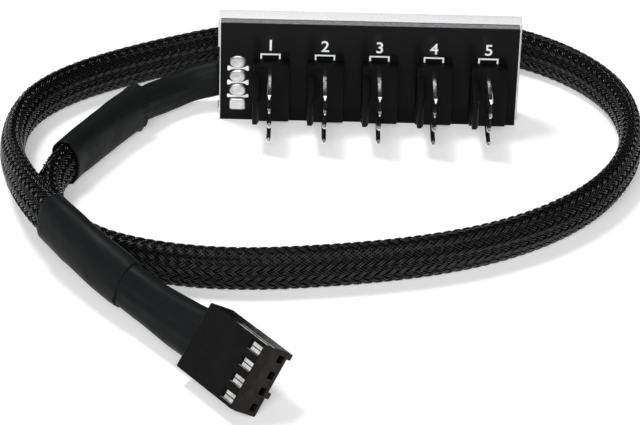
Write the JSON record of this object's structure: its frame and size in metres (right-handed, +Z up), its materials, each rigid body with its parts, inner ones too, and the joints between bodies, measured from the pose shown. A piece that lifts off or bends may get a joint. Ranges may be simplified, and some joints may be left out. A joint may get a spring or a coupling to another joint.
{
  "type": "fan splitter cable",
  "caption": "Fan splitter cable: a narrow circuit board with a row of keyed pin headers and a foam pad, and a braided lead looping to a keyed four-way plug.",
  "frame": {"origin": "on the surface that the board stands on, under the middle of the board with its headers and foam pad", "axes": "+X along the board towards its plain end, +Y out of the foam pad's back, +Z up"},
  "size_m": [0.0995, 0.109, 0.0173],
  "materials": {
    "board": "glossy black solder mask with white marks",
    "foam": "white closed-cell foam",
    "housing": "black moulded nylon",
    "tin": "tin plated",
    "solder": "bright solder",
    "wire": "black insulation",
    "shrink": "satin black heat-shrink tube",
    "sleeve": "black braided monofilament"
  },
  "bodies": {
    "root": {"circuit_board": "board", "foam_pad": "foam", "header_shell_1": "housing", "header_shell_2": "housing", "header_shell_3": "housing", "header_shell_4": "housing", "header_shell_5": "housing", "header_pin_1_1": "tin", "header_pin_1_2": "tin", "header_pin_1_3": "tin", "header_pin_1_4": "tin", "header_pin_2_1": "tin", "header_pin_2_2": "tin", "header_pin_2_3": "tin", "header_pin_2_4": "tin", "header_pin_3_1": "tin", "header_pin_3_2": "tin", "header_pin_3_3": "tin", "header_pin_3_4": "tin", "header_pin_4_1": "tin", "header_pin_4_2": "tin", "header_pin_4_3": "tin", "header_pin_4_4": "tin", "header_pin_5_1": "tin", "header_pin_5_2": "tin", "header_pin_5_3": "tin", "header_pin_5_4": "tin", "wire_joint_1": "solder", "wire_joint_2": "solder", "wire_joint_3": "solder", "wire_joint_4": "solder", "hub_wire_1": "wire", "hub_wire_2": "wire", "hub_wire_3": "wire", "hub_wire_4": "wire", "hub_wire_shrink": "shrink", "hub_sleeve_shrink": "shrink", "braided_sleeve": "sleeve", "plug_sleeve_shrink": "shrink", "plug_wire_shrink": "shrink", "plug_housing": "housing", "plug_terminal_1": "tin", "plug_terminal_2": "tin", "plug_terminal_3": "tin", "plug_terminal_4": "tin", "plug_wire_1": "wire", "plug_wire_2": "wire", "plug_wire_3": "wire", "plug_wire_4": "wire"}
  },
  "joints": []
}
